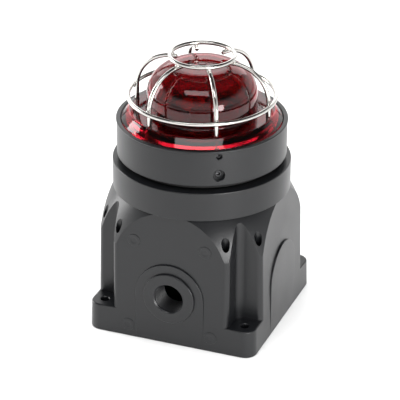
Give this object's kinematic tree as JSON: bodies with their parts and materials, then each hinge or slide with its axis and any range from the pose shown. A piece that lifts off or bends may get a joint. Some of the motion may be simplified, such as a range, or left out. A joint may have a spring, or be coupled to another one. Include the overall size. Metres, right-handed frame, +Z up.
{
  "type": "flameproof strobe beacon",
  "caption": "Square black cast housing with four mounting feet, threaded side entries and a screw-on round cover that carries a red domed lens under a stainless wire guard.",
  "frame": {"origin": "centre of the housing's underside", "axes": "+Z up along the cover's axis, -Y out of the open cable entry, +X along the next side"},
  "size_m": [0.1406, 0.1512, 0.2208],
  "materials": {
    "casting": "satin black powder coat",
    "lens": "clear red polycarbonate",
    "glass": "clear toughened",
    "stainless": "polished stainless steel",
    "rubber": "matt black",
    "board": "green solder mask",
    "ceramic": "matt white",
    "sleeve": "dark blue sleeve",
    "copper": "varnished winding",
    "reflector": "mirror",
    "brass": "plain brass"
  },
  "bodies": {
    "housing": {"housing": "casting", "flash_tube": "glass", "earth_screw": "stainless", "stopping_plug": "stainless", "plug_seal": "rubber", "power_board": "board", "terminal_board": "board", "lamp_board": "board", "terminal_block": "ceramic", "lamp_base": "ceramic", "flash_capacitor_1": "sleeve", "flash_capacitor_2": "sleeve", "transformer": "copper", "trigger_coil": "copper", "reflector": "reflector", "earth_washer": "brass", "floor_pillar_1": "brass", "floor_pillar_2": "brass", "floor_pillar_3": "brass", "floor_pillar_4": "brass", "board_pillar_1": "brass", "board_pillar_2": "brass", "board_pillar_3": "brass", "board_pillar_4": "brass", "lamp_pillar_1": "brass", "lamp_pillar_2": "brass", "lamp_pillar_3": "brass", "terminal_screw_1": "brass", "terminal_screw_2": "brass", "terminal_screw_3": "brass", "terminal_screw_4": "brass"},
    "seal": {"cover_seal": "rubber"},
    "cover": {"cover": "casting", "lens": "lens", "lens_gasket": "rubber", "glass_dome": "glass", "glass_retainer": "stainless", "cover_lock_screw": "stainless", "guard_screw_1": "stainless", "guard_screw_2": "stainless", "guard_screw_3": "stainless", "guard_top_ring": "stainless", "guard_middle_ring": "stainless", "guard_leg_1": "stainless", "guard_leg_2": "stainless", "guard_leg_3": "stainless", "guard_leg_4": "stainless", "guard_leg_5": "stainless", "guard_leg_6": "stainless"}
  },
  "joints": [
    {"name": "cover_lift", "type": "slide", "parent": "housing", "child": "seal", "axis": [0, 0, 1], "range_m": [0, 0.013]},
    {"name": "cover_turn", "type": "hinge", "parent": "seal", "child": "cover", "pos_m": [0, 0, 0.15], "axis": [0, 0, 1], "range_deg": [0, 2340]}
  ],
  "couplings": [
    {"joint": "cover_lift", "follows": "cover_turn", "m_per_rad": 0.00031831}
  ]
}
